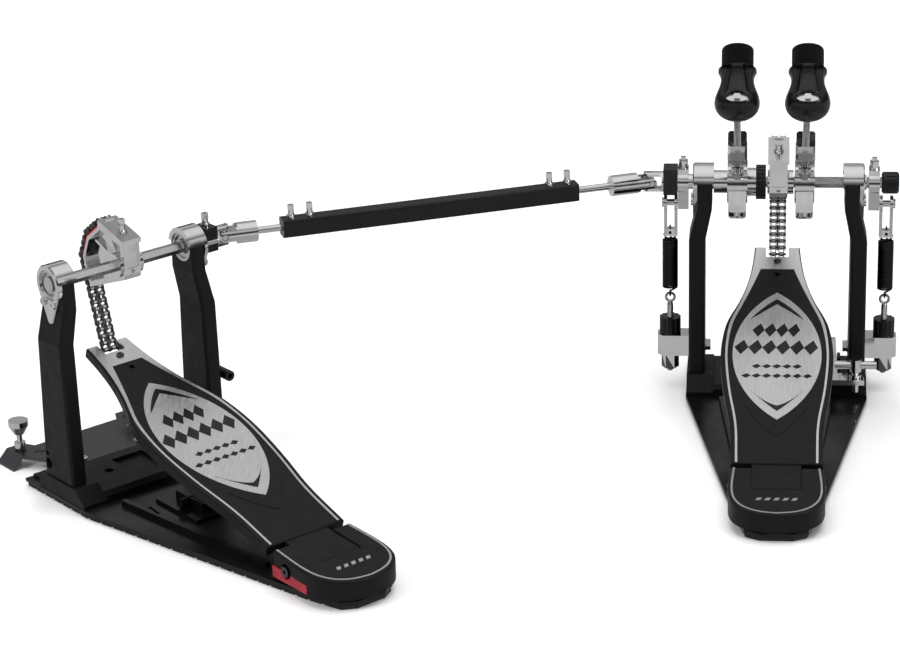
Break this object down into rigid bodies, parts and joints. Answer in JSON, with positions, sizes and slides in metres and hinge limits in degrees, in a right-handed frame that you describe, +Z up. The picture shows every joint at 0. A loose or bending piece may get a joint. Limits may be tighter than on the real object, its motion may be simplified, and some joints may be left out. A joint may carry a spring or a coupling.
{
  "type": "double bass drum pedal",
  "caption": "Double bass drum pedal: chain-driven main pedal with two felt beaters, a slave pedal and a telescopic drive shaft with universal joints.",
  "frame": {"origin": "on the floor under the middle of the main pedal's axle", "axes": "+X along the main axle to the player's right, +Y from the player to the drum, +Z up; the slave pedal stands to -X and is turned 45 degrees about +Z"},
  "size_m": [0.8038, 0.5428, 0.3593],
  "materials": {
    "powder_coat": "fine textured black powder coat",
    "sheet_black": "satin black enamel on sheet steel",
    "chrome": "polished chrome plate",
    "bright_steel": "brushed and ground steel",
    "brushed_alloy": "brushed aluminium",
    "rubber": "matt black rubber",
    "black_plastic": "moulded black nylon, semi-gloss",
    "felt_black": "dense black wool felt",
    "felt_red": "thin red felt",
    "red_plastic": "red moulded plastic",
    "chain_steel": "blackened chain plates with bright rollers",
    "spring_black": "black oxide spring wire",
    "dark_steel": "blackened steel"
  },
  "bodies": {
    "frames": {"base_plates": "sheet_black", "rubber_soles": "rubber", "crossbars": "powder_coat", "posts": "powder_coat", "post_caps": "chrome", "axle_bearings": "bright_steel", "heel_plates": "powder_coat", "heel_inserts": "red_plastic", "frame_screws": "chrome", "spring_brackets": "chrome", "tension_rods": "bright_steel", "stabiliser_plate": "dark_steel"},
    "main_axle": {"main_axle_rod": "bright_steel", "main_cam": "chrome", "main_cam_felt": "felt_red", "main_chain_wrap": "chain_steel", "main_axle_bolts": "chrome", "right_beater_hub": "chrome", "right_spring_rocker": "chrome", "right_axle_knob": "black_plastic", "right_beater_stem": "bright_steel", "right_beater_head": "black_plastic", "right_beater_felt": "felt_black"},
    "main_board": {"main_footboard": "powder_coat", "main_footboard_trim": "brushed_alloy"},
    "main_link": {"main_chain_link": "chain_steel"},
    "main_run": {"main_chain_run": "chain_steel"},
    "right_hook": {"right_swing_hook": "chrome"},
    "right_coil": {"right_spring": "spring_black"},
    "slave_axle": {"slave_axle_rod": "bright_steel", "slave_cam": "chrome", "slave_cam_felt": "felt_red", "slave_chain_wrap": "chain_steel", "slave_joint_yoke": "chrome", "slave_axle_bolts": "chrome"},
    "slave_board": {"slave_footboard": "powder_coat", "slave_footboard_trim": "brushed_alloy"},
    "slave_link": {"slave_chain_link": "chain_steel"},
    "slave_run": {"slave_chain_run": "chain_steel"},
    "left_hub": {"left_hub_sleeve": "chrome", "left_beater_hub": "chrome", "left_spring_rocker": "chrome", "left_hub_bolts": "chrome", "left_joint_yoke": "chrome", "left_beater_stem": "bright_steel", "left_beater_head": "black_plastic", "left_beater_felt": "felt_black"},
    "left_hook": {"left_swing_hook": "chrome"},
    "left_coil": {"left_spring": "spring_black"},
    "drive_shaft": {"shaft_ends": "chrome", "shaft_tube": "sheet_black", "shaft_bolts": "chrome"},
    "main_cross": {"main_joint_cross": "bright_steel"},
    "slave_cross": {"slave_joint_cross": "bright_steel"},
    "right_knob": {"tension_knob_right": "black_plastic"},
    "left_knob": {"tension_knob_left": "black_plastic"},
    "left_spur": {"spur_screw_left": "chrome"},
    "right_spur": {"spur_screw_right": "chrome"},
    "clamp_lever": {"hoop_clamp_lever": "chrome"},
    "clamp_bolt": {"hoop_clamp_bolt": "chrome"}
  },
  "joints": [
    {"name": "main_press", "type": "hinge", "parent": "frames", "child": "main_axle", "pos_m": [0, 0, 0.202], "axis": [-1, 0, 0], "range_deg": [0, 50], "stiffness_Nm_per_rad": 1.2, "springref_deg": -34.38},
    {"name": "main_board_hinge", "type": "hinge", "parent": "frames", "child": "main_board", "pos_m": [0, -0.275, 0.02], "axis": [-1, 0, 0], "range_deg": [0, 9.19]},
    {"name": "main_link_pivot", "type": "hinge", "parent": "main_axle", "child": "main_link", "pos_m": [0, 0.047, 0.22], "axis": [1, 0, 0], "range_deg": [0, 24.42]},
    {"name": "main_run_pivot", "type": "hinge", "parent": "main_link", "child": "main_run", "pos_m": [0, 0.058, 0.196], "axis": [1, 0, 0], "range_deg": [0, 45.12]},
    {"name": "right_hook_pivot", "type": "hinge", "parent": "main_axle", "child": "right_hook", "pos_m": [0.098, 0, 0.182], "axis": [1, 0, 0], "range_deg": [0, 59.07]},
    {"name": "right_coil_swing", "type": "hinge", "parent": "frames", "child": "right_coil", "pos_m": [0.0985, 0, 0.093], "axis": [1, 0, 0], "range_deg": [0, 9.07], "deforming": ["right_spring"]},
    {"name": "slave_press", "type": "hinge", "parent": "frames", "child": "slave_axle", "pos_m": [-0.56087, -0.22694, 0.202], "axis": [-0.7071, -0.7071, 0], "range_deg": [0, 50], "stiffness_Nm_per_rad": 1.2, "springref_deg": -34.38},
    {"name": "slave_board_hinge", "type": "hinge", "parent": "frames", "child": "slave_board", "pos_m": [-0.36642, -0.42139, 0.02], "axis": [-0.7071, -0.7071, 0], "range_deg": [0, 8.87]},
    {"name": "slave_link_pivot", "type": "hinge", "parent": "slave_axle", "child": "slave_link", "pos_m": [-0.59411, -0.1937, 0.22], "axis": [0.7071, 0.7071, 0], "range_deg": [0, 25.22]},
    {"name": "slave_run_pivot", "type": "hinge", "parent": "slave_link", "child": "slave_run", "pos_m": [-0.60189, -0.18593, 0.196], "axis": [0.7071, 0.7071, 0], "range_deg": [0, 41.41]},
    {"name": "shaft_turn", "type": "hinge", "parent": "frames", "child": "drive_shaft", "pos_m": [-0.118, 0, 0.202], "axis": [-0.9239, -0.3827, 0], "range_deg": [0, 47.77]},
    {"name": "left_hub_turn", "type": "hinge", "parent": "frames", "child": "left_hub", "pos_m": [0, 0, 0.202], "axis": [-1, 0, 0], "range_deg": [0, 50.02]},
    {"name": "main_cross_tilt", "type": "hinge", "parent": "left_hub", "child": "main_cross", "pos_m": [-0.118, 0, 0.202], "axis": [0, 0, -1], "range_deg": [0, 7.61]},
    {"name": "slave_cross_tilt", "type": "hinge", "parent": "slave_axle", "child": "slave_cross", "pos_m": [-0.48663, -0.15269, 0.202], "axis": [0, 0, 1], "range_deg": [0, 7.61]},
    {"name": "left_hook_pivot", "type": "hinge", "parent": "left_hub", "child": "left_hook", "pos_m": [-0.098, 0, 0.182], "axis": [1, 0, 0], "range_deg": [0, 59.07]},
    {"name": "left_coil_swing", "type": "hinge", "parent": "frames", "child": "left_coil", "pos_m": [-0.0985, 0, 0.093], "axis": [1, 0, 0], "range_deg": [0, 9.07], "deforming": ["left_spring"]},
    {"name": "right_tension_turn", "type": "hinge", "parent": "frames", "child": "right_knob", "pos_m": [0.0985, 0, 0.062], "axis": [0, 0, 1], "continuous": true},
    {"name": "left_tension_turn", "type": "hinge", "parent": "frames", "child": "left_knob", "pos_m": [-0.0985, 0, 0.062], "axis": [0, 0, 1], "continuous": true},
    {"name": "left_spur_raise", "type": "slide", "parent": "frames", "child": "left_spur", "axis": [0, 0, 1], "range_m": [0, 0.004]},
    {"name": "right_spur_raise", "type": "slide", "parent": "frames", "child": "right_spur", "axis": [0, 0, 1], "range_m": [0, 0.004]},
    {"name": "clamp_rock", "type": "hinge", "parent": "frames", "child": "clamp_lever", "pos_m": [0.051, 0.006, 0.0245], "axis": [-1, 0, 0], "range_deg": [0, 8]},
    {"name": "clamp_bolt_turn", "type": "hinge", "parent": "clamp_lever", "child": "clamp_bolt", "pos_m": [0.072, -0.042, 0.04], "axis": [0, 0, -1], "range_deg": [0, 40.1]}
  ],
  "couplings": [
    {"joint": "main_board_hinge", "follows": "main_press", "ratio": 0.18332},
    {"joint": "main_link_pivot", "follows": "main_press", "ratio": 0.48809},
    {"joint": "main_run_pivot", "follows": "main_press", "ratio": 0.90192},
    {"joint": "right_hook_pivot", "follows": "main_press", "ratio": 1.1811},
    {"joint": "right_coil_swing", "follows": "main_press", "ratio": 0.18108},
    {"joint": "slave_board_hinge", "follows": "slave_press", "ratio": 0.17709},
    {"joint": "slave_link_pivot", "follows": "slave_press", "ratio": 0.50393},
    {"joint": "slave_run_pivot", "follows": "slave_press", "ratio": 0.82772},
    {"joint": "shaft_turn", "follows": "slave_press", "ratio": 0.95506},
    {"joint": "left_hub_turn", "follows": "slave_press", "ratio": 1},
    {"joint": "main_cross_tilt", "follows": "slave_press", "ratio": 0.15182},
    {"joint": "slave_cross_tilt", "follows": "slave_press", "ratio": 0.15182},
    {"joint": "left_hook_pivot", "follows": "slave_press", "ratio": 1.1811},
    {"joint": "left_coil_swing", "follows": "slave_press", "ratio": 0.18108},
    {"joint": "clamp_bolt_turn", "follows": "clamp_rock", "ratio": 5}
  ]
}
